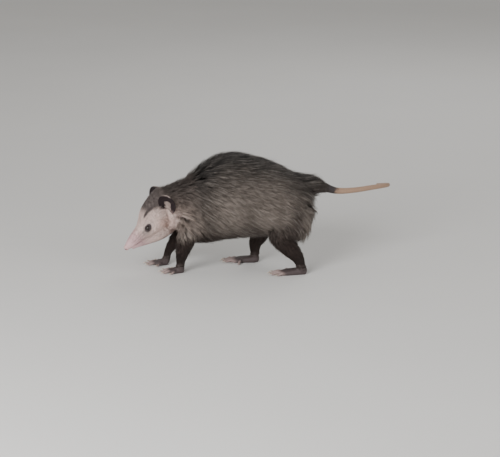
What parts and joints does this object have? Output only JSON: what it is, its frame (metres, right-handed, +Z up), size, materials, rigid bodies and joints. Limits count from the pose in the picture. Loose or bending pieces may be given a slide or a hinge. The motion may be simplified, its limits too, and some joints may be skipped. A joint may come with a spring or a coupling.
{
  "type": "opossum",
  "caption": "Life-size still model of a Virginia opossum walking with its head low, coat of long overlapping locks, cupped dark ears and a long pale tail.",
  "frame": {"origin": "middle of the underside of the whole animal's box, on the floor", "axes": "+X towards the tail, so the head points to -X; +Y to the animal's right side; +Z up"},
  "size_m": [0.49, 0.2602, 0.2131],
  "materials": {
    "body_fur": "long loose guard hairs, grey over paler wool, darker along the back and belly",
    "face_fur": "short dense off-white fur with a dark streak on the forehead",
    "leg_fur": "short dark brown-black fur",
    "foot_skin": "bare wrinkled dark skin with paler toes",
    "nose_skin": "moist pink bare skin",
    "ear_skin": "thin bare black skin with a pale rim",
    "eye": "wet black eye",
    "claw": "horn, translucent at the tip",
    "tail_dark": "dark scaly skin, furred at its root",
    "tail_pale": "pale pinkish skin with rings of fine scales"
  },
  "bodies": {
    "root": {"ear_left": "ear_skin", "ear_right": "ear_skin", "eye_left": "eye", "eye_right": "eye", "fore_left_claw_1": "claw", "fore_left_claw_2": "claw", "fore_left_claw_3": "claw", "fore_left_claw_4": "claw", "fore_left_claw_5": "claw", "fore_left_foot": "foot_skin", "fore_left_lower_leg": "leg_fur", "fore_left_upper_leg": "leg_fur", "fore_right_claw_1": "claw", "fore_right_claw_2": "claw", "fore_right_claw_3": "claw", "fore_right_claw_4": "claw", "fore_right_claw_5": "claw", "fore_right_foot": "foot_skin", "fore_right_lower_leg": "leg_fur", "fore_right_upper_leg": "leg_fur", "head": "face_fur", "hind_left_claw_2": "claw", "hind_left_claw_3": "claw", "hind_left_claw_4": "claw", "hind_left_claw_5": "claw", "hind_left_foot": "foot_skin", "hind_left_lower_leg": "leg_fur", "hind_left_upper_leg": "leg_fur", "hind_right_claw_2": "claw", "hind_right_claw_3": "claw", "hind_right_claw_4": "claw", "hind_right_claw_5": "claw", "hind_right_foot": "foot_skin", "hind_right_lower_leg": "leg_fur", "hind_right_upper_leg": "leg_fur", "neck": "body_fur", "nose": "nose_skin", "tail_base": "tail_dark", "tail_mid": "tail_pale", "tail_tip": "tail_pale", "torso": "body_fur"}
  },
  "joints": []
}
